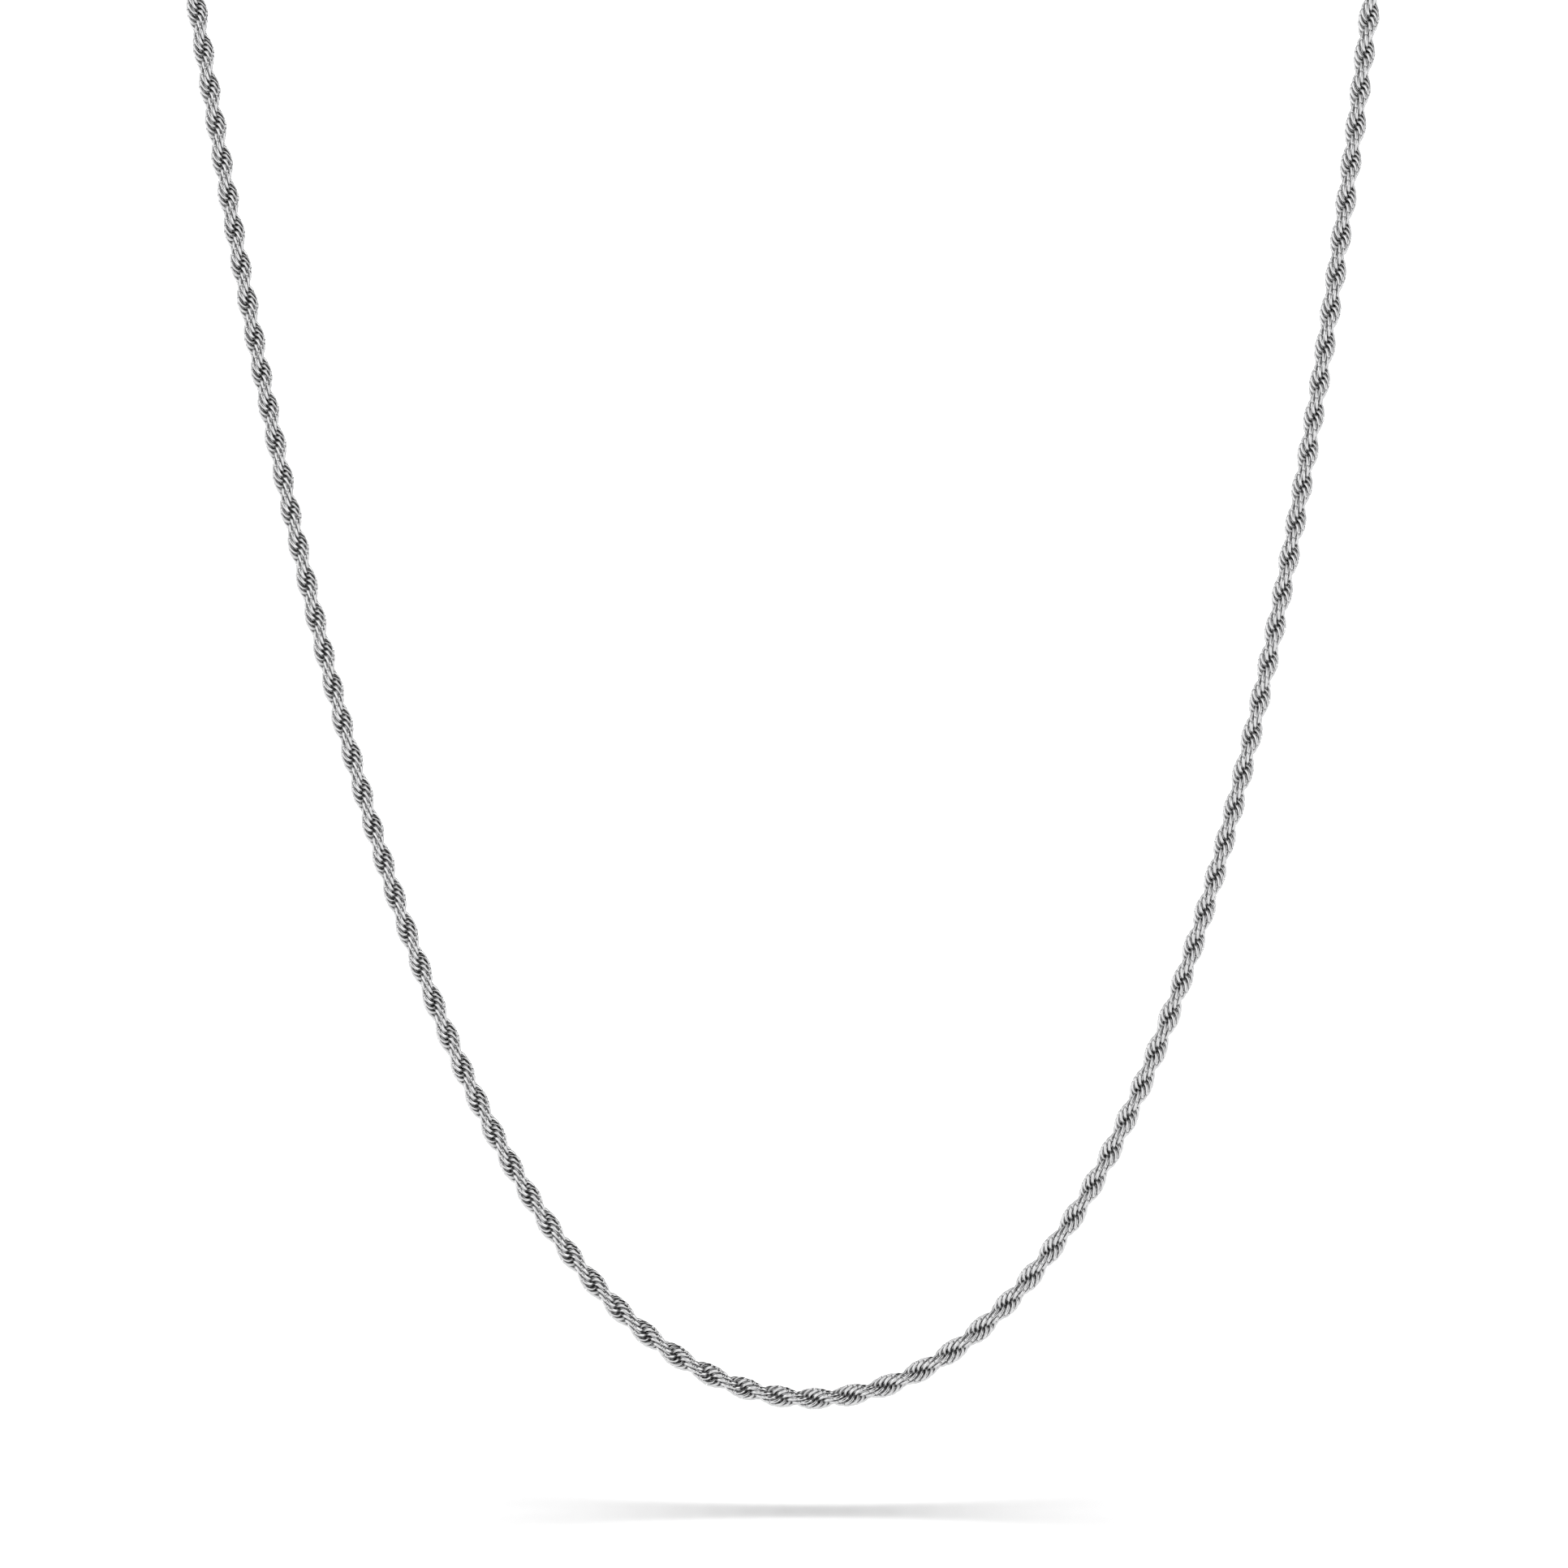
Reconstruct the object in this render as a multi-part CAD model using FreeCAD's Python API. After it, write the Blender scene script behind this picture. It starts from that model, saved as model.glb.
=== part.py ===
import FreeCAD, Part
import math
import os

# A rope-chain necklace with a lobster clasp, hung in one upright plane over two pegs.
# +X is to the right, +Z is up and Y is the pegs' direction. The origin is midway between
# the pegs' axes. The front of the loop hangs in a deep drape below the pegs, and the back
# of the loop, which carries the clasp, hangs in a shallow one between them.

V = FreeCAD.Vector

# Chain, all in mm
CHAIN_D = 2.5  # outside diameter of the rope chain
DRAPE_A = 25.9  # catenary parameter of the front drape: the bend radius at its lowest point
FRONT_HALF_SPAN = 73.7  # from the middle to where the front drape leaves a peg
PEG_D = 8.0
HINGE_HEIGHTS = (148.0, 105.0, 62.0, 22.0)  # above the lowest point, where the drape flexes
BOTTOM_STATIONS = 9  # points at which the bottom's route touches the catenary
ARC_SHARE = 0.45  # of the shorter run, taken by each side of an arc
HINGE_GAP = 0.1  # between a flexing point's ball end and the flat end beside it

# End caps with their soldered loops
CAP_R = 1.65
CAP_BORE_R = 1.29
CAP_LENGTH = 5.0
CAP_WALL = 0.6
CAP_EDGE = 0.15
CHAIN_END_GAP = 0.05
STRAIGHT_AT_CAP = 1.5
LOOP_R, LOOP_WIRE_R = 1.15, 0.3
LOOP_SINK = 0.2  # how far the loop's wire is soldered into its cap

# Jump rings: radius to the middle of the wire, and the wire's radius
RING_R, RING_WIRE_R = 1.6, 0.35
CATCH_R, CATCH_WIRE_R = 1.85, 0.32
RING_SLIT = 0.06
LINK_GAP = 0.1  # left between linked rings, so that they roll freely

# Lobster clasp, measured from the middle of its tail ring: u along +X, w along +Z
CLASP_HALF_T = 1.05
SLOT_HALF = 0.56
SLOT_U = (2.25, 4.3)
SLOT_FLOOR_W = -0.95
HOOK_R, HOOK_WIRE_R = 1.75, 0.62
NOSE_U = 6.3
TIP_DEG = 104.0
PIVOT_U, PIVOT_W = 2.8, 0.75
PIN_R, PIN_HEAD_R, PIN_HEAD_T = 0.4, 0.6, 0.15
PIN_CLEARANCE = 0.03
LEVER_HALF_T = 0.5
GATE_R = 3.66  # from the pivot to the lever's tip
GATE_GAP = 0.1
SPRING_U, SPRING_R, SPRING_WIRE_R, SPRING_TURNS = 3.45, 0.34, 0.08, 4
SPRING_TOP_W = 0.22


def drape_x(height):
    """Half the front drape's width at a height above its lowest point."""
    return DRAPE_A * math.acosh(1 + height / DRAPE_A)


CHAIN_R = CHAIN_D / 2
WRAP_R = PEG_D / 2 + CHAIN_R
FRONT_SLOPE = math.atan(math.sinh(FRONT_HALF_SPAN / DRAPE_A))
PEG_X = FRONT_HALF_SPAN - WRAP_R * math.sin(FRONT_SLOPE)
# A free rope's tension falls with height alone, so both drapes share this base height.
BASE_Z = -WRAP_R * math.cos(FRONT_SLOPE) - DRAPE_A * math.cosh(FRONT_HALF_SPAN / DRAPE_A)
LOWEST_Z = BASE_Z + DRAPE_A

# The row of fittings, from the left cap's closed end to the right cap's
LOOP_FROM_CAP = LOOP_R + LOOP_WIRE_R - LOOP_SINK
LOOP_TO_RING = LOOP_R + RING_R - LOOP_WIRE_R - RING_WIRE_R - LINK_GAP
CATCH_U = NOSE_U + HOOK_R - HOOK_WIRE_R - CATCH_WIRE_R - LINK_GAP + CATCH_R
CATCH_TO_LOOP = CATCH_R + LOOP_R - CATCH_WIRE_R - LOOP_WIRE_R - LINK_GAP
ROW_LENGTH = 2 * LOOP_FROM_CAP + 2 * LOOP_TO_RING + CATCH_U + CATCH_TO_LOOP
CAP_X = ROW_LENGTH / 2
TAIL_X = -CAP_X + LOOP_FROM_CAP + 2 * LOOP_TO_RING
STRAIGHT_X = CAP_X + CAP_LENGTH + STRAIGHT_AT_CAP


def back_drape():
    """The back drape's catenary parameter and its slope at the peg, found by halving."""
    low, high = PEG_X, 10 * PEG_X
    for _ in range(60):
        a = (low + high) / 2
        slope = math.atan(math.sinh((PEG_X - STRAIGHT_X) / a))
        for _ in range(20):
            slope = math.atan(math.sinh((PEG_X - WRAP_R * math.sin(slope) - STRAIGHT_X) / a))
        run = PEG_X - WRAP_R * math.sin(slope) - STRAIGHT_X
        if BASE_Z + a * math.cosh(run / a) > WRAP_R * math.cos(slope):
            high = a
        else:
            low = a
    return a, slope


BACK_A, BACK_SLOPE = back_drape()
BACK_X = PEG_X - WRAP_R * math.sin(BACK_SLOPE)
ROW_Z = BASE_Z + BACK_A


def in_plane(x, z):
    return V(x, 0, z)


def catenary(a, shift, x):
    """A catenary's point and slope at x, with its lowest point at x = shift."""
    t = (x - shift) / a
    return in_plane(x, BASE_Z + a * math.cosh(t)), math.sinh(t)


def tangent_route(a, shift, stations):
    """Points whose runs touch the catenary at each station."""
    touches = [catenary(a, shift, x) for x in stations]
    route = [touches[0][0]]
    for (p, m), (q, n) in zip(touches, touches[1:]):
        x = (q.z - p.z + m * p.x - n * q.x) / (m - n)
        route.append(in_plane(x, p.z + m * (x - p.x)))
    route.append(touches[-1][0])
    return route


def step_in(route, start, end):
    """The route with its first and last points moved inwards along their runs."""
    first = (route[1] - route[0]).normalize()
    last = (route[-2] - route[-1]).normalize()
    return [route[0] + first * start] + route[1:-1] + [route[-1] + last * end]


def rounded(route):
    """A wire of straight runs joined by tangent arcs, each as large as its runs allow."""
    edges = []
    start = route[0]
    for a, b, c in zip(route, route[1:], route[2:]):
        before = (b - a).normalize()
        after = (c - b).normalize()
        half_turn = before.getAngle(after) / 2
        cut = ARC_SHARE * min((b - a).Length, (c - b).Length)
        radius = cut / math.tan(half_turn)
        inward = (after - before).normalize()
        middle = b + inward * (radius / math.cos(half_turn) - radius)
        edges.append(Part.LineSegment(start, b - before * cut).toShape())
        edges.append(Part.Arc(b - before * cut, middle, b + after * cut).toShape())
        start = b + after * cut
    edges.append(Part.LineSegment(start, route[-1]).toShape())
    return Part.Wire(edges)


def sweep(wire, r):
    """A round rod of radius r along a wire."""
    start = wire.OrderedEdges[0]
    at = start.valueAt(start.FirstParameter)
    along = start.tangentAt(start.FirstParameter)
    section = Part.Wire([Part.Circle(at, along, r).toShape()])
    return wire.makePipeShell([section], True, False)


def ball_end(at, direction):
    """The half ball that ends a stretch of chain where its neighbour flexes."""
    return Part.makeSphere(CHAIN_R, at, direction, 0, 90, 360)


def stretch(route, start_in=0.0, end_in=0.0, ball=False):
    """A stretch of chain along a route. A ball end is at the route's last point."""
    path = step_in(route, start_in, end_in)
    shape = sweep(rounded(path), CHAIN_R)
    if ball:
        shape = shape.fuse(ball_end(path[-1], path[-1] - path[-2])).removeSplitter()
    return shape


FLAT_IN = CHAIN_R + HINGE_GAP


def drape_side(upper_x, lower_x):
    """The right-hand stretch of the front drape between two flexing points."""
    middle = (upper_x + lower_x) / 2
    route = tangent_route(DRAPE_A, 0, (upper_x, middle, lower_x))
    return stretch(route, start_in=FLAT_IN, ball=True)


def drape_bottom(half_width):
    """The bottom of the front drape, from one flexing point round to the other."""
    last = BOTTOM_STATIONS - 1
    stations = [half_width * (2 * i / last - 1) for i in range(BOTTOM_STATIONS)]
    return stretch(tangent_route(DRAPE_A, 0, stations), start_in=FLAT_IN, end_in=FLAT_IN)


def wrap_point(angle):
    return in_plane(PEG_X + WRAP_R * math.cos(angle), WRAP_R * math.sin(angle))


def peg_wrap():
    """The chain over the right-hand peg, with a ball end at each side."""
    front, back = FRONT_SLOPE - math.pi / 2, BACK_SLOPE + math.pi / 2
    arc = Part.Arc(wrap_point(front), wrap_point((front + back) / 2), wrap_point(back))
    rod = sweep(Part.Wire([arc.toShape()]), CHAIN_R)
    down = in_plane(-math.cos(FRONT_SLOPE), -math.sin(FRONT_SLOPE))
    inward = in_plane(-math.cos(BACK_SLOPE), -math.sin(BACK_SLOPE))
    balls = [ball_end(wrap_point(front), down), ball_end(wrap_point(back), inward)]
    return rod.fuse(balls).removeSplitter()


def back_side():
    """The right-hand half of the back drape, from its peg into its end cap."""
    middle = (BACK_X + STRAIGHT_X) / 2
    touching = tangent_route(BACK_A, STRAIGHT_X, (BACK_X, middle, STRAIGHT_X))
    end = in_plane(CAP_X + CAP_WALL + CHAIN_END_GAP, ROW_Z)
    return stretch(touching[:-1] + [end], start_in=FLAT_IN)


def end_cap():
    """The right-hand cup over the chain's end, closed towards the clasp."""
    x_axis = V(1, 0, 0)
    cup = Part.makeCylinder(CAP_R, CAP_LENGTH, in_plane(CAP_X, ROW_Z), x_axis)
    cup = cup.makeFillet(CAP_EDGE, cup.Edges)
    bore_start = in_plane(CAP_X + CAP_WALL, ROW_Z)
    return cup.cut(Part.makeCylinder(CAP_BORE_R, CAP_LENGTH, bore_start, x_axis))


def ring(r, wire_r, x, across):
    """A wire ring in the fittings' row. across is the direction that its hole faces."""
    return Part.makeTorus(r, wire_r, in_plane(x, ROW_Z), across)


def slit(shape, x, r, wire_r):
    """The butted ends of an opened ring, at the side away from the links it joins."""
    size = 3 * wire_r
    corner = V(x - RING_SLIT / 2, r - size / 2, ROW_Z - size / 2)
    return shape.cut(Part.makeBox(RING_SLIT, size, size, corner))


def at_clasp(shape):
    return shape.translated(in_plane(TAIL_X, ROW_Z))


def plate(outline, half_thickness, round_r):
    """A plate in the clasp's plane with its outline's corners rounded."""
    points = [V(u, -half_thickness, w) for u, w in outline]
    face = Part.Face(Part.makePolygon(points + [points[0]]))
    slab = face.extrude(V(0, 2 * half_thickness, 0))
    across = [e for e in slab.Edges if abs(e.tangentAt(e.FirstParameter).y) > 0.5]
    return slab.makeFillet(round_r, across)


def pivot_rod(r, half_length):
    return Part.makeCylinder(r, 2 * half_length, V(PIVOT_U, -half_length, PIVOT_W), V(0, 1, 0))


def hook_rod():
    """The clasp's lower limb and the nose that turns up to the gate."""
    tip = math.radians(TIP_DEG)
    half_way = (tip - math.pi / 2) / 2
    limb = Part.LineSegment(in_plane(3.0, -HOOK_R), in_plane(NOSE_U, -HOOK_R))
    nose = Part.Arc(
        in_plane(NOSE_U, -HOOK_R),
        in_plane(NOSE_U + HOOK_R * math.cos(half_way), HOOK_R * math.sin(half_way)),
        in_plane(NOSE_U + HOOK_R * math.cos(tip), HOOK_R * math.sin(tip)),
    )
    return sweep(Part.Wire([limb.toShape(), nose.toShape()]), HOOK_WIRE_R)


def clasp_body():
    """The cast claw: tail ring, neck, slotted housing and hook."""
    outline = (
        (1.5, -0.7),
        (2.3, -2.3),
        (4.9, -2.35),
        (4.9, -1.15),
        (4.0, -0.8),
        (4.0, 1.1),
        (3.3, 1.75),
        (2.3, 1.65),
        (1.5, 0.7),
    )
    tail = Part.makeTorus(LOOP_R, LOOP_WIRE_R, V(0, 0, 0), V(0, 1, 0))
    neck = Part.makeCylinder(0.5, 0.7, V(LOOP_R, 0, 0), V(1, 0, 0))
    housing = plate(outline, CLASP_HALF_T, 0.3)
    slot_corner = V(SLOT_U[0], -SLOT_HALF, SLOT_FLOOR_W)
    slot = Part.makeBox(SLOT_U[1] - SLOT_U[0], 2 * SLOT_HALF, 4.0, slot_corner)
    gate = pivot_rod(GATE_R + GATE_GAP, 2 * CLASP_HALF_T)
    beyond = Part.makeBox(4.0, 4 * CLASP_HALF_T, 4.0, V(NOSE_U - 2, -2 * CLASP_HALF_T, 0.6))
    shape = tail.fuse([neck, housing, hook_rod()])
    return at_clasp(shape.cut([slot, gate.common(beyond), pivot_rod(PIN_R, 2)]))


def clasp_lever():
    """The sprung gate: a pivoted arm with a thumb nub, whose tip meets the hook."""
    outline = (
        (2.35, 0.4),
        (3.0, 0.25),
        (4.4, 0.85),
        (6.6, 1.5),
        (6.6, 2.1),
        (5.1, 1.95),
        (4.75, 2.15),
        (4.5, 2.95),
        (3.95, 2.95),
        (3.6, 2.0),
        (2.6, 1.5),
        (2.35, 1.1),
    )
    arm = plate(outline, LEVER_HALF_T, 0.12)
    arm = arm.common(pivot_rod(GATE_R, LEVER_HALF_T))
    return at_clasp(arm.cut(pivot_rod(PIN_R + PIN_CLEARANCE, LEVER_HALF_T)))


def clasp_pin():
    """The rivet that the lever turns on, headed over both cheeks."""
    rod = pivot_rod(PIN_R, CLASP_HALF_T + PIN_HEAD_T)
    heads = pivot_rod(PIN_HEAD_R, CLASP_HALF_T + PIN_HEAD_T)
    return at_clasp(rod.fuse(heads.cut(pivot_rod(PIN_HEAD_R, CLASP_HALF_T))))


def clasp_spring():
    """The small coil that pushes the lever shut."""
    low = SLOT_FLOOR_W + SPRING_WIRE_R
    height = SPRING_TOP_W - SPRING_WIRE_R - low
    helix = Part.makeHelix(height / SPRING_TURNS, height, SPRING_R)
    section = Part.Wire([Part.Circle(V(SPRING_R, 0, 0), V(0, 1, 0), SPRING_WIRE_R).toShape()])
    coil = Part.Wire(helix.Edges).makePipeShell([section], True, True)
    return at_clasp(coil.translated(V(SPRING_U, 0, low)))


def mirrored(shape):
    return shape.mirror(V(0, 0, 0), V(1, 0, 0))


def pair(nodes, name, shape):
    """The same piece on the right and, mirrored, on the left."""
    nodes[name.format(side="right")] = shape
    nodes[name.format(side="left")] = mirrored(shape)


def chain(nodes):
    xs = [FRONT_HALF_SPAN] + [drape_x(h) for h in HINGE_HEIGHTS]
    for i, (upper, lower) in enumerate(zip(xs, xs[1:]), start=1):
        pair(nodes, f"chain_{{side}}_{i}", drape_side(upper, lower))
    nodes["chain_bottom"] = drape_bottom(xs[-1])
    pair(nodes, "chain_over_peg_{side}", peg_wrap())
    pair(nodes, "chain_back_{side}", back_side())


def fittings(nodes):
    up, front = V(0, 0, 1), V(0, 1, 0)
    pair(nodes, "end_cap_{side}", end_cap())
    pair(nodes, "end_loop_{side}", ring(LOOP_R, LOOP_WIRE_R, CAP_X - LOOP_FROM_CAP, front))
    ring_x = TAIL_X - LOOP_TO_RING
    opened = ring(RING_R, RING_WIRE_R, ring_x, up)
    nodes["jump_ring"] = slit(opened, ring_x, RING_R, RING_WIRE_R)
    nodes["catch_ring"] = ring(CATCH_R, CATCH_WIRE_R, TAIL_X + CATCH_U, up)
    nodes["clasp_body"] = clasp_body()
    nodes["clasp_lever"] = clasp_lever()
    nodes["clasp_pin"] = clasp_pin()
    nodes["clasp_spring"] = clasp_spring()


def report_sizes():
    front = 2 * DRAPE_A * math.sinh(FRONT_HALF_SPAN / DRAPE_A)
    wraps = 2 * WRAP_R * (math.pi - FRONT_SLOPE + BACK_SLOPE)
    back = 2 * BACK_A * math.sinh((BACK_X - STRAIGHT_X) / BACK_A) + 2 * STRAIGHT_X
    print(f"closed length {front + wraps + back:.1f} mm, chain only about "
          f"{front + wraps + back - 2 * (CAP_X + CAP_WALL):.1f} mm")
    print(f"peg axes at x = +-{PEG_X:.3f}, lowest point of the centre line z = {LOWEST_Z:.3f}")
    print(f"fittings' row z = {ROW_Z:.3f}, tail ring x = {TAIL_X:.3f}, caps x = +-{CAP_X:.3f}")
    print(f"back drape parameter {BACK_A:.2f}, slope {math.degrees(BACK_SLOPE):.2f} deg")
    print(f"front slope at the peg {math.degrees(FRONT_SLOPE):.2f} deg")


nodes = {}
chain(nodes)
fittings(nodes)
os.makedirs("parts", exist_ok=True)
for name, shape in nodes.items():
    solid = shape.Solids[0] if len(shape.Solids) == 1 else shape
    print(f"{name}: {len(shape.Solids)} solid, {shape.Volume:.3f} mm3, valid {shape.isValid()}")
    solid.exportStep(f"parts/{name}.step")
report_sizes()
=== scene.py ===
"""A polished steel rope-chain necklace, hung in a deep drape over two pegs."""
import bpy
import bmesh
import math
import numpy as np
from mathutils import Matrix, Vector


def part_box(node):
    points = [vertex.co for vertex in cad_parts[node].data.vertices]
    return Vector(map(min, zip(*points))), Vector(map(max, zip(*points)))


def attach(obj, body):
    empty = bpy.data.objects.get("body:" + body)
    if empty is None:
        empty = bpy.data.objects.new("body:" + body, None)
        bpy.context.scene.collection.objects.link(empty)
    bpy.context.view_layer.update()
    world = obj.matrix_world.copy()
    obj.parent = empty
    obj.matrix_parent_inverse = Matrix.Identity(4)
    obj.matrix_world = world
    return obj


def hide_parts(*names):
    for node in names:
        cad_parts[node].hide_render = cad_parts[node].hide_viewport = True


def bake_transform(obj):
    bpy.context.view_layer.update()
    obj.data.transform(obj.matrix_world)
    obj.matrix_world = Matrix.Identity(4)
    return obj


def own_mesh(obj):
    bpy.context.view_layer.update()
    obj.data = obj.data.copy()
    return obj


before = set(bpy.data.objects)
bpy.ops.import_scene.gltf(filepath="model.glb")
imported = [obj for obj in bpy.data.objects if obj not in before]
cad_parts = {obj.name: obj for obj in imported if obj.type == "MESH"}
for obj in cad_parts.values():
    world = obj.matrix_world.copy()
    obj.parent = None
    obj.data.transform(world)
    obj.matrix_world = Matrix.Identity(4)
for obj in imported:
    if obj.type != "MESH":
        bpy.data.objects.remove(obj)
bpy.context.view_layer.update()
scene = bpy.context.scene
MM = 0.001

# ---- the camera: level, a long lens, turned a little about its own axis ----
ROLL = math.radians(1.283)
LENS, SENSOR = 50.0, 36.0
VIEW_WIDTH = 185.96 * MM  # of the upright plane that the necklace hangs in
VIEW_FROM_MIDDLE = -2.20 * MM
VIEW_ABOVE_LOWEST = 72.98 * MM

# ---- the chain's line, as part.py has it, in mm ----
CHAIN_R = 1.25
DRAPE_A = 25.9
FRONT_HALF_SPAN = 73.7
WRAP_R = 5.25
HINGE_HEIGHTS = (148.0, 105.0, 62.0, 22.0)
CAP_LENGTH = 5.0
CAP_WALL = 0.6
STRAIGHT_AT_CAP = 1.5
FRONT_SLOPE = math.atan(math.sinh(FRONT_HALF_SPAN / DRAPE_A))
PEG_X = FRONT_HALF_SPAN - WRAP_R * math.sin(FRONT_SLOPE)
BASE_Z = -WRAP_R * math.cos(FRONT_SLOPE) - DRAPE_A * math.cosh(FRONT_HALF_SPAN / DRAPE_A)
LOWEST_Z = BASE_Z + DRAPE_A
cap_low, cap_high = [np.array(c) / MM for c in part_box("end_cap_right")]
CAP_X = cap_low[0]
ROW_Z = (cap_low[2] + cap_high[2]) / 2
STRAIGHT_X = CAP_X + CAP_LENGTH + STRAIGHT_AT_CAP
BACK_A = ROW_Z - BASE_Z
BACK_SLOPE = 0.0
for _ in range(30):
    BACK_X = PEG_X - WRAP_R * math.sin(BACK_SLOPE)
    BACK_SLOPE = math.atan(math.sinh((BACK_X - STRAIGHT_X) / BACK_A))

# ---- the rope's links ----
LINK_STEP = 0.2887  # along the chain, from one link to the next
LINK_TURN = math.radians(180 + 12)
LINK_OUT = 0.2  # the rest are in link radii, scaled so that the rope is CHAIN_R thick
LINK_WIRE = 0.44
LINK_LONG = 1.35
LINK_TILT = math.radians(7)
LINK_YAW = math.radians(2)
NU, NV = 38, 8  # points along a link's wire, and round it
TURN_DRIFT = math.radians(0.9)  # the most that the winding gains or loses, per link
DRIFT_LINKS = 60  # how many links one such change lasts
JITTER = (0.012, 0.012, 0.02)  # of each link's own turn, tilt and yaw, in radians

# ---- the camera itself ----
cam_data = bpy.data.cameras.new("camera")
cam_data.lens = LENS
cam_data.sensor_width = SENSOR
cam_data.clip_start = 0.01
cam_data.clip_end = 20.0
camera = bpy.data.objects.new("camera", cam_data)
scene.collection.objects.link(camera)
distance = VIEW_WIDTH * LENS / SENSOR
looks_at = Vector((VIEW_FROM_MIDDLE, 0, LOWEST_Z * MM + VIEW_ABOVE_LOWEST))
camera.matrix_world = (Matrix.Translation(looks_at - Vector((0, distance, 0)))
                       @ Matrix.Rotation(ROLL, 4, "Y") @ Matrix.Rotation(math.pi / 2, 4, "X"))
scene.camera = camera
scene.view_settings.view_transform = "Standard"


# ---- node helpers ----
def new_material(name):
    mat = bpy.data.materials.new(name)
    mat.use_nodes = True
    tree = mat.node_tree
    return mat, tree, tree.nodes["Principled BSDF"]


def node(tree, kind, **settings):
    n = tree.nodes.new(kind)
    for key, value in settings.items():
        if key in n.inputs:
            n.inputs[key].default_value = value
        else:
            setattr(n, key, value)
    return n


def ramp(tree, source, stops):
    r = node(tree, "ShaderNodeValToRGB")
    tree.links.new(source, r.inputs["Fac"])
    elements = r.color_ramp.elements
    for i, (at, level) in enumerate(stops):
        e = elements[i] if i < 2 else elements.new(at)
        e.position = at
        e.color = (level, level, level, 1)
    return r.outputs["Color"]


def steel(name, base, rough_low, rough_high, grain, scratch, core=None):
    """Polished steel: a mirror with faint haze patches, fine wipe scratches and tiny pits.

    core lists depths in the rope, and how much of the colour is left there: painted shade that
    darkens the links towards the rope's core, where the gaps between them are."""
    mat, tree, bsdf = new_material(name)
    link = tree.links.new
    coords = node(tree, "ShaderNodeTexCoord").outputs["Object"]
    haze = node(tree, "ShaderNodeTexNoise", Scale=grain, Detail=4.0, Roughness=0.6)
    link(coords, haze.inputs["Vector"])
    tone = node(tree, "ShaderNodeMix", data_type="RGBA")
    tone.inputs[6].default_value = (*[c * 0.9 for c in base], 1)
    tone.inputs[7].default_value = (*base, 1)
    link(ramp(tree, haze.outputs["Fac"], ((0.3, 0), (0.62, 1))), tone.inputs[0])
    colour = tone.outputs[2]
    # painted shade: the colour gets darker towards the rope's core, where the links' gaps are
    if core:
        depth = node(tree, "ShaderNodeAttribute", attribute_name="depth").outputs["Fac"]
        painted_core_shade = node(tree, "ShaderNodeMix", data_type="RGBA", blend_type="MULTIPLY")
        painted_core_shade.inputs[0].default_value = 1.0
        link(colour, painted_core_shade.inputs[6])
        link(ramp(tree, depth, core), painted_core_shade.inputs[7])
        colour = painted_core_shade.outputs[2]
    link(colour, bsdf.inputs["Base Color"])
    stretch = node(tree, "ShaderNodeMapping")
    stretch.inputs["Scale"].default_value = (1.0, 1.0, 9.0)
    stretch.inputs["Rotation"].default_value = (0.5, 0.9, 0.3)
    link(coords, stretch.inputs["Vector"])
    lines = node(tree, "ShaderNodeTexNoise", Scale=scratch, Detail=3.0, Roughness=0.7)
    link(stretch.outputs["Vector"], lines.inputs["Vector"])
    rough = node(tree, "ShaderNodeMapRange")
    rough.inputs["From Min"].default_value = 0.35
    rough.inputs["From Max"].default_value = 0.7
    rough.inputs["To Min"].default_value = rough_low
    rough.inputs["To Max"].default_value = rough_high
    link(haze.outputs["Fac"], rough.inputs["Value"])
    link(rough.outputs["Result"], bsdf.inputs["Roughness"])
    pits = node(tree, "ShaderNodeTexVoronoi", Scale=grain * 2.5)
    link(coords, pits.inputs["Vector"])
    pit_depth = ramp(tree, pits.outputs["Distance"], ((0.0, 0.0), (0.09, 1.0)))
    scratches = node(tree, "ShaderNodeBump", Strength=0.05, Distance=0.00001)
    link(lines.outputs["Fac"], scratches.inputs["Height"])
    pitted = node(tree, "ShaderNodeBump", Strength=0.08, Distance=0.00001)
    link(pit_depth, pitted.inputs["Height"])
    link(scratches.outputs["Normal"], pitted.inputs["Normal"])
    link(pitted.outputs["Normal"], bsdf.inputs["Normal"])
    bsdf.inputs["Metallic"].default_value = 1.0
    return mat


# the chain steel carries painted shade, darker towards the rope's core
CHAIN_STEEL = steel("polished_chain_steel", (0.64, 0.64, 0.645), 0.06, 0.14, 900.0, 2600.0,
                    core=((0.36, 1.0), (0.7, 0.5)))
FITTING_STEEL = steel("polished_fitting_steel", (0.55, 0.55, 0.555), 0.07, 0.16, 700.0, 1900.0)
CLASP_STEEL = steel("cast_clasp_steel", (0.54, 0.54, 0.545), 0.09, 0.22, 500.0, 1500.0)
PIN_STEEL = steel("turned_pin_steel", (0.52, 0.52, 0.525), 0.14, 0.28, 900.0, 2400.0)
SPRING_STEEL = steel("spring_wire_steel", (0.5, 0.5, 0.505), 0.22, 0.38, 1200.0, 3200.0)


# ---- mesh helpers ----
def piece(name, verts, faces, material):
    mesh = bpy.data.meshes.new(name)
    mesh.from_pydata([tuple(v) for v in verts], [], faces)
    mesh.polygons.foreach_set("use_smooth", [True] * len(mesh.polygons))
    mesh.update()
    obj = bpy.data.objects.new(name, mesh)
    scene.collection.objects.link(obj)
    mesh.materials.append(material)
    return obj


def tube_faces(rings, around, base, closed):
    """Quads between rings of vertices, and a cap on each end of an open tube."""
    faces = []
    last = rings if closed else rings - 1
    for i in range(last):
        a, b = base + i * around, base + ((i + 1) % rings) * around
        for j in range(around):
            k = (j + 1) % around
            faces.append((a + j, b + j, b + k, a + k))
    if not closed:
        faces.append(tuple(base + j for j in range(around)))
        faces.append(tuple(base + (rings - 1) * around + j for j in reversed(range(around))))
    return faces


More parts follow.
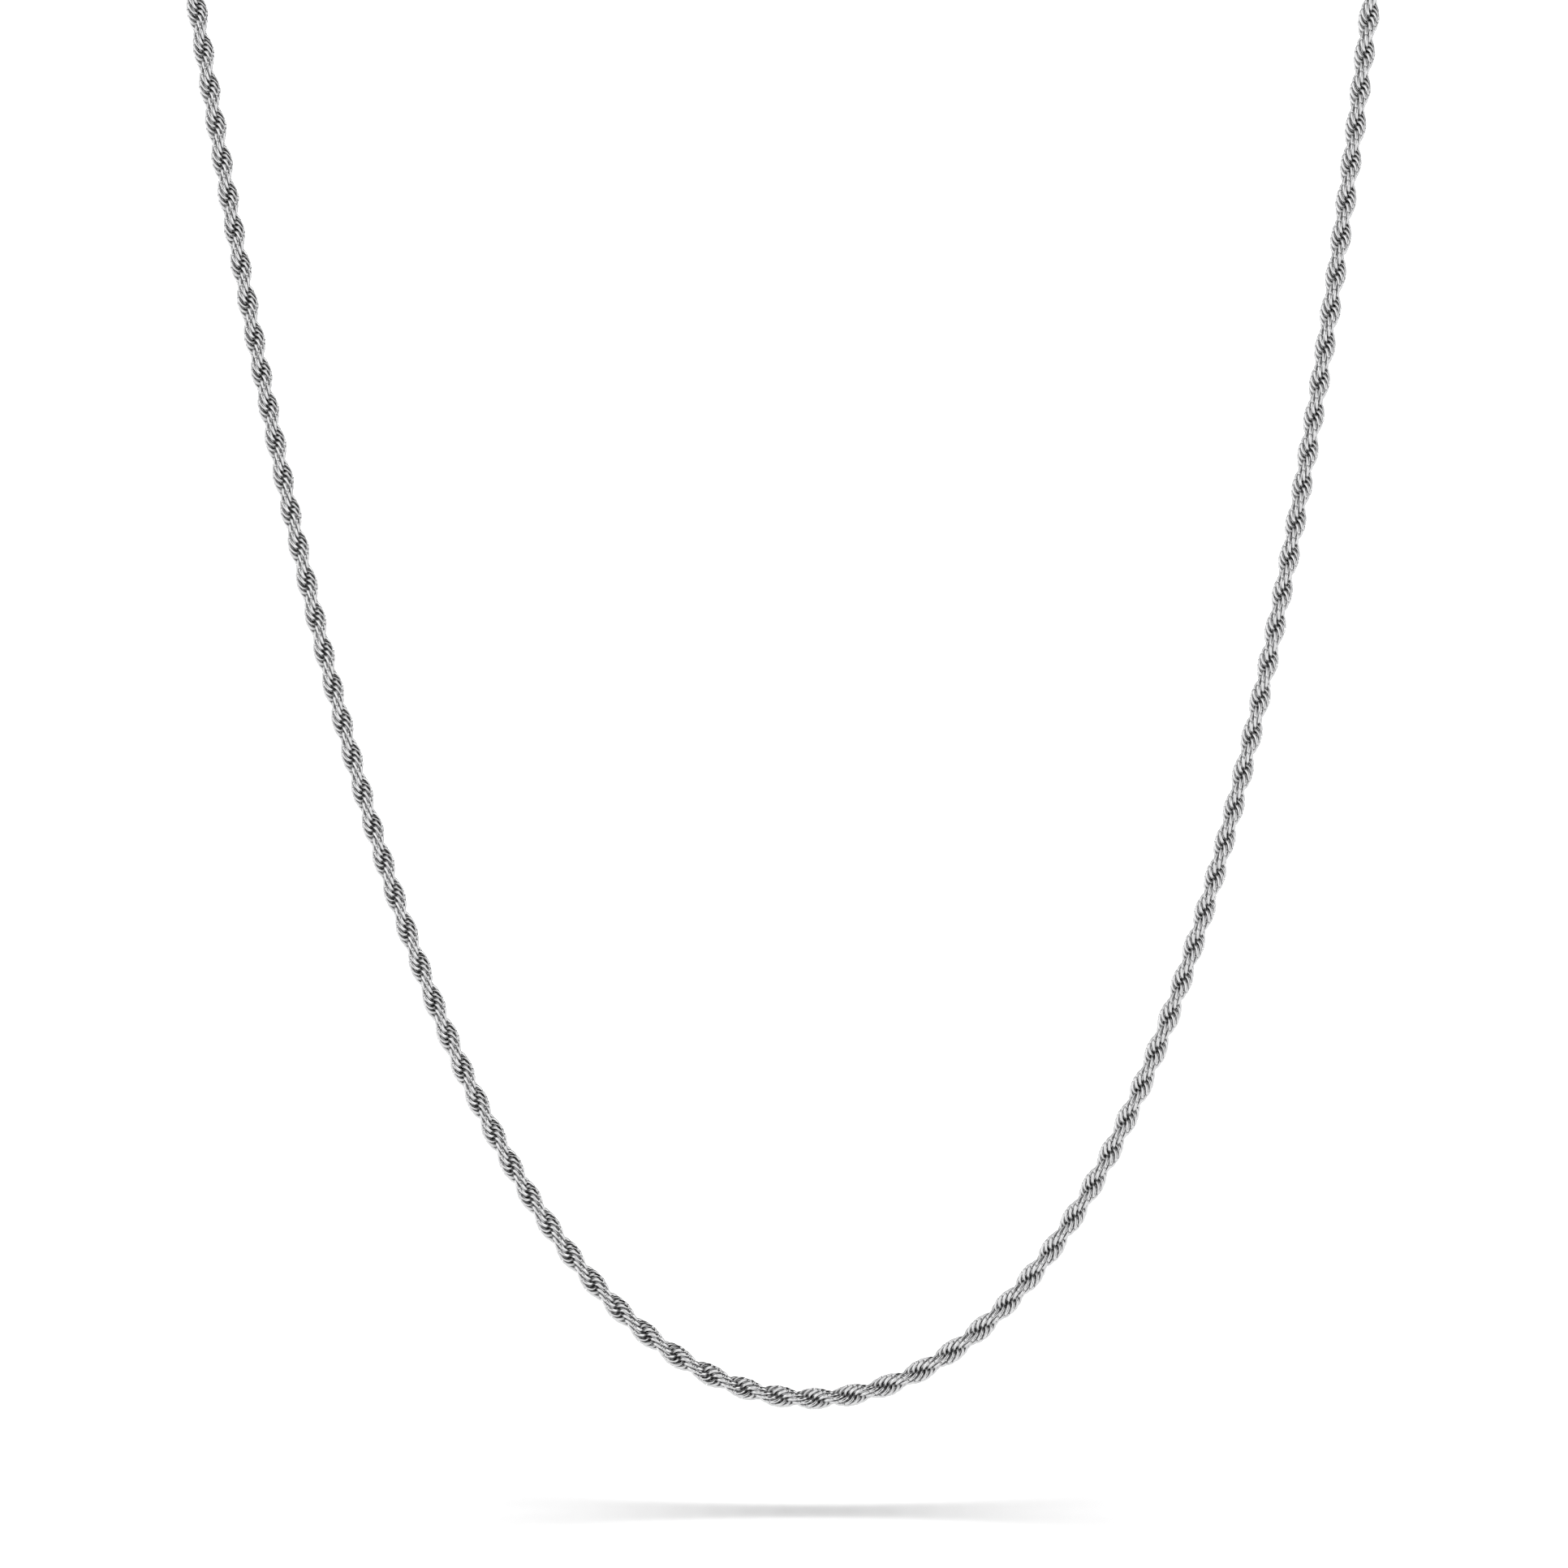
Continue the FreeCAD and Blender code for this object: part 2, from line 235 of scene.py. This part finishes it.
# ---- the chain's centre line, measured from its lowest point ----
FRONT_LENGTH = DRAPE_A * math.sinh(FRONT_HALF_SPAN / DRAPE_A)
WRAP_LENGTH = WRAP_R * (math.pi - FRONT_SLOPE + BACK_SLOPE)
BACK_LENGTH = BACK_A * math.sinh((BACK_X - STRAIGHT_X) / BACK_A)
LINE_END_GAP = 0.15  # from the floor of the cap's bore to the end of the line
END_LENGTH = STRAIGHT_X - CAP_X - CAP_WALL - LINE_END_GAP
HALF_LENGTH = FRONT_LENGTH + WRAP_LENGTH + BACK_LENGTH + END_LENGTH


def half_line(far):
    """x, z and the tangent's angle above +X, at a distance along the right-hand half."""
    if far <= FRONT_LENGTH:
        x = DRAPE_A * math.asinh(far / DRAPE_A)
        return x, BASE_Z + DRAPE_A * math.cosh(x / DRAPE_A), math.atan(far / DRAPE_A)
    far -= FRONT_LENGTH
    if far <= WRAP_LENGTH:
        angle = FRONT_SLOPE - math.pi / 2 + far / WRAP_R
        return (PEG_X + WRAP_R * math.cos(angle), WRAP_R * math.sin(angle),
                angle + math.pi / 2)
    far -= WRAP_LENGTH
    if far <= BACK_LENGTH:
        left = BACK_LENGTH - far
        x = STRAIGHT_X + BACK_A * math.asinh(left / BACK_A)
        return (x, BASE_Z + BACK_A * math.cosh((x - STRAIGHT_X) / BACK_A),
                math.pi + math.atan(left / BACK_A))
    return STRAIGHT_X - (far - BACK_LENGTH), ROW_Z, math.pi


def chain_point(s):
    """Point and direction at s mm from the lowest point, positive on the right-hand side."""
    x, z, angle = half_line(abs(s))
    if s < 0:
        x, angle = -x, -angle
    return np.array((x, 0.0, z)), np.array((math.cos(angle), 0.0, math.sin(angle)))


# ---- one link, in link radii: a slightly long ring of round wire with a butted joint ----
OPEN = 0.035  # half the angle of the butted joint, which faces the rope's core
ring_angle = np.linspace(math.pi + OPEN, 3 * math.pi - OPEN, NU)
wire_angle = np.linspace(0, 2 * math.pi, NV, endpoint=False)
ring_dir = np.stack([np.cos(ring_angle), np.sin(ring_angle)], 1)
tangent = np.stack([-np.sin(ring_angle), LINK_LONG * np.cos(ring_angle)], 1)
tangent /= np.linalg.norm(tangent, axis=1)[:, None]
outward = np.stack([tangent[:, 1], -tangent[:, 0]], 1)
middle = ring_dir * (1.0, LINK_LONG)
across_wire = np.cos(wire_angle) * LINK_WIRE / 2
in_plane = middle[:, None, :] + outward[:, None, :] * across_wire[None, :, None]
off_plane = np.broadcast_to(np.sin(wire_angle) * LINK_WIRE / 2, in_plane.shape[:2])


def link_axes(phi, tilt, yaw):
    u = np.array([math.cos(phi), math.sin(phi), 0.0])
    v = np.array([-math.sin(phi), math.cos(phi), 0.0])
    w = np.array([0.0, 0.0, 1.0])
    n = math.cos(tilt) * (math.cos(yaw) * v + math.sin(yaw) * u) + math.sin(tilt) * w
    b = w - n * n[2]
    b /= np.linalg.norm(b)
    return u, n, np.cross(b, n), b


def link_verts(phi, tilt, yaw, out, scale):
    """A link's vertices with the rope along +Z."""
    u, n, a, b = link_axes(phi, tilt, yaw)
    flat = in_plane[..., 0:1] * a + in_plane[..., 1:2] * b + off_plane[..., None] * n
    return (flat + u * out).reshape(-1, 3) * scale


whole = link_verts(0, LINK_TILT, LINK_YAW, LINK_OUT, 1.0)
LINK_SCALE = CHAIN_R / np.hypot(whole[:, 0], whole[:, 1]).max()

rng = np.random.default_rng(41)
link_s = np.arange(-HALF_LENGTH, HALF_LENGTH, LINK_STEP)[::-1]
count = len(link_s)
window = np.hanning(DRIFT_LINKS) / np.hanning(DRIFT_LINKS).sum()
slow = np.convolve(rng.normal(0, 1, count + 4 * DRIFT_LINKS), window, "same")
slow = slow[2 * DRIFT_LINKS:2 * DRIFT_LINKS + count]
slow /= np.abs(slow).max()
turn = np.cumsum(LINK_TURN + TURN_DRIFT * slow)
small = rng.normal(0, 1, (count, 3))


def make_links(name, chosen, body=None, replaced=()):
    """The links whose numbers are given, as one piece."""
    verts, faces, depth = [], [], []
    for k in chosen:
        at, along = chain_point(link_s[k])
        along = -along
        side = np.array((0.0, 1.0, 0.0))
        across = np.cross(side, along)
        own = [amount * draw for amount, draw in zip(JITTER, small[k])]
        local = link_verts(turn[k] + own[0], LINK_TILT + own[1], LINK_YAW + own[2],
                           LINK_OUT, LINK_SCALE)
        world = at + local @ np.stack([across, side, along])
        faces += tube_faces(NU, NV, len(verts) * NU * NV, closed=False)
        verts.append(world * MM)
        depth.append(1 - np.hypot(local[:, 0], local[:, 1]) / CHAIN_R)
    obj = piece(name, np.concatenate(verts), faces, CHAIN_STEEL)
    # depth into the rope, which the chain steel uses for its painted shade
    depths = obj.data.attributes.new("depth", "FLOAT", "POINT")
    depths.data.foreach_set("value", np.concatenate(depth))
    if body:
        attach(obj, body)
    else:
        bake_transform(obj)
    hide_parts(*replaced)


# ---- which links go with which body ----
FLEX_HALF = 9.0  # half the height over which the chain bends at a flexing point
REACH = 1.7  # half a link's length, so that a bending piece's end links sit still
PEG_FRONT_Z = 2.2
SWING_LOW_Z = -5.0  # the chain bends at the peg between this height and PEG_FRONT_Z
PEG_BACK_X = 68.5
BACK_BEND = 8.0
hinge_z = [LOWEST_Z + h for h in HINGE_HEIGHTS]


def group_of(s):
    """The name of the group that a link at s mm from the lowest point goes with."""
    side = "right" if s > 0 else "left"
    (x, _, z), _ = chain_point(s)
    if abs(s) > FRONT_LENGTH + WRAP_LENGTH / 2:
        if abs(x) > PEG_BACK_X + REACH:
            return f"peg_{side}"
        if abs(x) > PEG_BACK_X - BACK_BEND - REACH:
            return f"peg_bend_{side}"
        return f"back_{side}"
    if z > PEG_FRONT_Z + REACH:
        return f"peg_{side}"
    if z > SWING_LOW_Z - REACH:
        return f"bend_0_{side}"
    for i, h in enumerate(hinge_z, start=1):
        if abs(z - h) <= FLEX_HALF + REACH:
            return f"bend_{i}_{side}"
        if z > h:
            return f"drape_{i}_{side}"
    return "bottom"


groups = {}
for k in range(count):
    groups.setdefault(group_of(link_s[k]), []).append(k)

for side, sign in (("right", 1), ("left", -1)):
    nodes = [f"chain_{side}_{i}" for i in (1, 2, 3, 4)]
    peg, back = f"chain_over_peg_{side}", f"chain_back_{side}"
    make_links(f"links_peg_{side}", groups[f"peg_{side}"], body="root", replaced=[peg])
    make_links(f"links_peg_bend_{side}", groups[f"peg_bend_{side}"], replaced=[peg, back])
    make_links(f"links_back_{side}", groups[f"back_{side}"], body="back", replaced=[back])
    make_links(f"links_bend_0_{side}", groups[f"bend_0_{side}"], replaced=[peg, nodes[0]])
    for i in (1, 2, 3, 4):
        make_links(f"links_{side}_{i}", groups[f"drape_{i}_{side}"], body=f"drape_{i}",
                   replaced=[nodes[i - 1]])
        after = nodes[i] if i < 4 else "chain_bottom"
        make_links(f"links_bend_{i}_{side}", groups[f"bend_{i}_{side}"],
                   replaced=[nodes[i - 1], after])
make_links("links_bottom", groups["bottom"], body="drape_bottom", replaced=["chain_bottom"])

# ---- fittings: their sizes in mm, as part.py has them ----
LOOP_R, LOOP_WIRE_R, LOOP_FROM_CAP = 1.15, 0.3, 1.25
RING_R, RING_WIRE_R, RING_SLIT = 1.6, 0.35, 0.06
CATCH_R, CATCH_WIRE_R = 1.85, 0.318  # a hair thinner, to stay inside the faceted CAD mesh
PIN_U, PIN_R, PIN_HEAD_R, PIN_HALF, CHEEK_HALF = 2.8, 0.4, 0.6, 1.2, 1.05
SPRING_U, SPRING_R, SPRING_WIRE_R, SPRING_TURNS = 3.45, 0.34, 0.08, 4
SPRING_LOW_W, SPRING_TOP_W = -0.95, 0.22

# ---- the wire joints of the rings ----
BUTT_ROUNDING, BUTT_WIDTH = 0.14, 0.09  # how a cut wire end thins, and over how many wire radii
SEAM_WIDTH = 0.35  # of a soldered joint, in wire radii


def middle_of(name):
    """The middle of a CAD node's box, in mm."""
    low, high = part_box(name)
    return (np.array(low) + np.array(high)) / 2 / MM


def finish_mesh(obj, sharp_deg):
    """Merges the points of closed poles, turns the faces outwards and keeps hard edges hard."""
    bm = bmesh.new()
    bm.from_mesh(obj.data)
    bmesh.ops.remove_doubles(bm, verts=bm.verts, dist=1e-7)
    bmesh.ops.dissolve_degenerate(bm, edges=bm.edges, dist=1e-8)
    bmesh.ops.recalc_face_normals(bm, faces=bm.faces)
    bm.to_mesh(obj.data)
    bm.free()
    obj.data.set_sharp_from_angle(angle=math.radians(sharp_deg))


def placed(points, at, along, across):
    """Points given along, across and up, in mm, as points of the row frame in metres."""
    along, across = np.array(along, float), np.array(across, float)
    return (np.array(at) + points @ np.stack([along, across, np.cross(along, across)])) * MM


def lathe(profile, around=64):
    """A closed outline of (along, radius) turned about the first axis."""
    turns = np.linspace(0, 2 * math.pi, around, endpoint=False)
    rows = [np.stack([np.full(around, a), r * np.cos(turns), r * np.sin(turns)], 1)
            for a, r in profile]
    return np.concatenate(rows), tube_faces(len(rows), around, 0, closed=True)


def wire(path, tangents, side, radii, around, closed):
    """A wire of changing radius round a path. side is square to the path everywhere."""
    turns = np.linspace(0, 2 * math.pi, around, endpoint=False)
    rows = []
    for p, t, s, r in zip(path, tangents, side, radii):
        up = np.cross(t, s)
        rows.append(p + r * (np.cos(turns)[:, None] * s + np.sin(turns)[:, None] * up))
    return np.concatenate(rows), tube_faces(len(rows), around, 0, closed)


def wire_ring(radius, wire_r, gap=0.0, seam=0.0, steps=120, around=24):
    """A ring round the third axis. Its butted or soldered joint is on the second axis."""
    half = gap / 2 / radius
    turns = np.linspace(math.pi / 2 + half, math.pi * 2.5 - half, steps, endpoint=gap > 0)
    away = np.minimum(turns - math.pi / 2, math.pi * 2.5 - turns) * radius / wire_r
    if gap:
        radii = wire_r * (1 - BUTT_ROUNDING * np.exp(-(away / BUTT_WIDTH) ** 2))
    else:
        ripple = 1 + 0.4 * np.cos(9 * away)
        radii = wire_r * (1 - seam * np.exp(-(away / SEAM_WIDTH) ** 2) * ripple)
    out = np.stack([np.cos(turns), np.sin(turns), 0 * turns], 1)
    along = np.stack([-np.sin(turns), np.cos(turns), 0 * turns], 1)
    return wire(out * radius, along, out, radii, around, closed=not gap)


# Outlines of turned pieces: how far along, and the radius there, in mm.
CAP_PROFILE = (
    (0.0, 0.0), (0.0, 1.22), (0.03, 1.38), (0.1, 1.5), (0.2, 1.59), (0.34, 1.64),
    (0.9, 1.64), (0.95, 1.6), (1.05, 1.57), (1.15, 1.6), (1.2, 1.64),
    (1.45, 1.64), (1.5, 1.6), (1.6, 1.57), (1.7, 1.6), (1.75, 1.64),
    (4.3, 1.64), (4.34, 1.6), (4.42, 1.575), (4.5, 1.6), (4.54, 1.64),
    (4.8, 1.64), (4.92, 1.6), (4.99, 1.5), (4.99, 1.42), (4.93, 1.33), (4.82, 1.295),
    (0.6, 1.295), (0.6, 0.0))
SOLDER_PROFILE = ((-0.1, 0.0), (-0.1, 0.7), (0.0, 0.66), (0.03, 0.55), (0.08, 0.45), (0.15, 0.38),
                  (0.24, 0.33), (0.33, 0.3), (0.33, 0.0))
PIN_PROFILE = ((-PIN_HALF, 0.0), (-PIN_HALF, 0.24), (-PIN_HALF + 0.02, 0.38),
               (-PIN_HALF + 0.06, 0.5), (-PIN_HALF + 0.11, 0.575), (-CHEEK_HALF, PIN_HEAD_R),
               (-CHEEK_HALF + 0.01, PIN_R), (CHEEK_HALF - 0.01, PIN_R), (CHEEK_HALF, PIN_HEAD_R),
               (PIN_HALF - 0.11, 0.575), (PIN_HALF - 0.06, 0.5), (PIN_HALF - 0.02, 0.38),
               (PIN_HALF, 0.24), (PIN_HALF, 0.0))

for side, sign in (("right", 1), ("left", -1)):
    cap_at = (sign * CAP_X, 0, ROW_Z)
    verts, faces = lathe(CAP_PROFILE, 96)
    cap = piece(f"cap_cup_{side}", placed(verts, cap_at, (sign, 0, 0), (0, 1, 0)), faces,
                FITTING_STEEL)
    finish_mesh(cap, 35)
    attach(cap, "back")
    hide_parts(f"end_cap_{side}")
    loop_at = (sign * (CAP_X - LOOP_FROM_CAP), 0, ROW_Z)
    verts, faces = wire_ring(LOOP_R, LOOP_WIRE_R, seam=0.03)
    ring_points = placed(verts, loop_at, (0, 0, 1), (sign, 0, 0))
    fillet, fillet_faces = lathe(SOLDER_PROFILE, 48)
    fillet_points = placed(fillet, cap_at, (-sign, 0, 0), (0, 1, 0))
    faces += [tuple(i + len(verts) for i in f) for f in fillet_faces]
    loop = piece(f"soldered_loop_{side}", np.concatenate([ring_points, fillet_points]), faces,
                 FITTING_STEEL)
    finish_mesh(loop, 50)
    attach(loop, "back")
    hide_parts(f"end_loop_{side}")

ring_at = middle_of("jump_ring")
verts, faces = wire_ring(RING_R, RING_WIRE_R, gap=RING_SLIT)
jump = piece("opened_jump_ring", placed(verts, ring_at, (1, 0, 0), (0, 1, 0)), faces,
             FITTING_STEEL)
finish_mesh(jump, 50)
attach(jump, "jump_ring")
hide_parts("jump_ring")
verts, faces = wire_ring(CATCH_R, CATCH_WIRE_R, seam=0.04)
catch = piece("soldered_catch_ring", placed(verts, middle_of("catch_ring"), (1, 0, 0), (0, 1, 0)),
              faces, FITTING_STEEL)
finish_mesh(catch, 50)
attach(catch, "catch_ring")
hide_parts("catch_ring")


def cast(name, node_name, body, voxel, passes):
    """A CAD piece with its corners worn round, as a tumbled casting has them. voxel is in mm."""
    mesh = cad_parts[node_name].data.copy()
    mesh.transform(Matrix.Scale(1 / MM, 4))
    bm = bmesh.new()
    bm.from_mesh(mesh)
    bmesh.ops.remove_doubles(bm, verts=bm.verts, dist=1e-4)
    bm.to_mesh(mesh)
    bm.free()
    rough = bpy.data.objects.new(name + "_rough", mesh)
    scene.collection.objects.link(rough)
    remesh = rough.modifiers.new("remesh", "REMESH")
    remesh.mode = "VOXEL"
    remesh.voxel_size = voxel
    smooth = rough.modifiers.new("smooth", "SMOOTH")
    smooth.factor = 0.5
    smooth.iterations = passes
    graph = bpy.context.evaluated_depsgraph_get()
    done = bpy.data.meshes.new_from_object(rough.evaluated_get(graph))
    bpy.data.objects.remove(rough)
    done.transform(Matrix.Scale(MM, 4))
    done.materials.clear()
    done.materials.append(CLASP_STEEL)
    done.polygons.foreach_set("use_smooth", [True] * len(done.polygons))
    obj = bpy.data.objects.new(name, done)
    scene.collection.objects.link(obj)
    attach(obj, body)
    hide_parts(node_name)


cast("claw", "clasp_body", "clasp", 0.04, 80)
cast("gate_lever", "clasp_lever", "clasp_lever", 0.028, 90)
pin_at = middle_of("clasp_pin")
verts, faces = lathe(PIN_PROFILE, 48)
pin = piece("rivet", placed(verts, pin_at, (0, 1, 0), (0, 0, 1)), faces, PIN_STEEL)
finish_mesh(pin, 40)
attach(pin, "clasp")
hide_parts("clasp_pin")

TAIL_X = pin_at[0] - PIN_U
steps = np.linspace(0, 1, 60 * SPRING_TURNS)
turns = steps * 2 * math.pi * SPRING_TURNS
rise = np.interp(steps, (0, 0.1, 0.9, 1), (0, 0.03, 0.97, 1))  # slower in the closed end coils
low, high = SPRING_LOW_W + SPRING_WIRE_R, SPRING_TOP_W - SPRING_WIRE_R
out = np.stack([np.cos(turns), np.sin(turns), 0 * turns], 1)
path = out * SPRING_R + np.stack([0 * turns, 0 * turns, low + rise * (high - low)], 1)
along = np.gradient(path, axis=0)
along /= np.linalg.norm(along, axis=1)[:, None]
verts, faces = wire(path, along, out, np.full(len(path), SPRING_WIRE_R), 12, closed=False)
spring_at = np.array((TAIL_X + SPRING_U, 0, ROW_Z))
spring = piece("coil_spring", (verts + spring_at) * MM, faces, SPRING_STEEL)
finish_mesh(spring, 60)
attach(spring, "clasp")
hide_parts("clasp_spring")
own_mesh(spring)

# ---- the floor, square to the camera's upright ----
FLOOR_BELOW = 13.33 * MM
FLOOR_R = 0.62
FLOOR_SIDES = 96
FLOOR_WHITE = 0.9
turned = Matrix.Rotation(ROLL, 4, "Y")
lowest = Vector((0, 0, LOWEST_Z * MM))
rim = [turned @ Vector((FLOOR_R * math.cos(a), FLOOR_R * math.sin(a), -FLOOR_BELOW)) + lowest
       for a in np.linspace(0, 2 * math.pi, FLOOR_SIDES, endpoint=False)]
floor_mesh = bpy.data.meshes.new("floor")
floor_mesh.from_pydata(rim, [], [tuple(range(FLOOR_SIDES))])
floor = bpy.data.objects.new("floor", floor_mesh)
scene.collection.objects.link(floor)
floor_mat, tree, bsdf = new_material("matt_white_floor")
bsdf.inputs["Base Color"].default_value = (FLOOR_WHITE, FLOOR_WHITE, FLOOR_WHITE, 1)
bsdf.inputs["Roughness"].default_value = 1.0
bsdf.inputs["Specular IOR Level"].default_value = 0.0
floor_mesh.materials.append(floor_mat)

# ---- light: soft from above, in a white tent with a grey screen left and a black one right ----
FLOOR_LEVEL = 1.14  # brightness of the unshaded floor, where 1 is white in the render
SUN_SPREAD = math.radians(24)
sun_data = bpy.data.lights.new("overhead", "SUN")
sun_data.angle = SUN_SPREAD
sun_data.energy = FLOOR_LEVEL * math.pi / FLOOR_WHITE
sun = bpy.data.objects.new("overhead", sun_data)
scene.collection.objects.link(sun)
sun.matrix_world = turned
sun.visible_glossy = False

world = bpy.data.worlds.new("tent")
scene.world = world
world.use_nodes = True
tree = world.node_tree
background = tree.nodes["Background"]
TENT_LEVEL = 1.8
direction = node(tree, "ShaderNodeTexCoord").outputs["Generated"]
parts = node(tree, "ShaderNodeSeparateXYZ")
tree.links.new(direction, parts.inputs[0])
sideways = node(tree, "ShaderNodeMapRange")
sideways.inputs["From Min"].default_value = -1.0
tree.links.new(parts.outputs["X"], sideways.inputs["Value"])
screens = ramp(tree, sideways.outputs["Result"], (
    (0.0, 1.0), (1.0, 1.0), (0.12, 0.9), (0.2, 0.4), (0.38, 0.68), (0.58, 0.68),
    (0.64, 0.01), (0.85, 0.01), (0.91, 1.0)))
behind = node(tree, "ShaderNodeMapRange")
behind.inputs["From Min"].default_value = -0.1
behind.inputs["From Max"].default_value = 0.6
behind.inputs["To Min"].default_value = 1.0
behind.inputs["To Max"].default_value = 0.5
tree.links.new(parts.outputs["Y"], behind.inputs["Value"])
dimmed = node(tree, "ShaderNodeMix", data_type="RGBA", blend_type="MULTIPLY")
dimmed.inputs[0].default_value = 1.0
tree.links.new(screens, dimmed.inputs[6])
tree.links.new(behind.outputs["Result"], dimmed.inputs[7])
rays = node(tree, "ShaderNodeLightPath")


def by_ray(which, otherwise, level):
    mix = node(tree, "ShaderNodeMix", data_type="RGBA")
    tree.links.new(rays.outputs[which], mix.inputs[0])
    tree.links.new(otherwise, mix.inputs[6])
    mix.inputs[7].default_value = (level, level, level, 1)
    return mix.outputs[2]


background.inputs["Strength"].default_value = TENT_LEVEL
seen = by_ray("Is Diffuse Ray", dimmed.outputs[2], 0.0)
seen = by_ray("Is Camera Ray", seen, 1.0)
tree.links.new(seen, background.inputs["Color"])
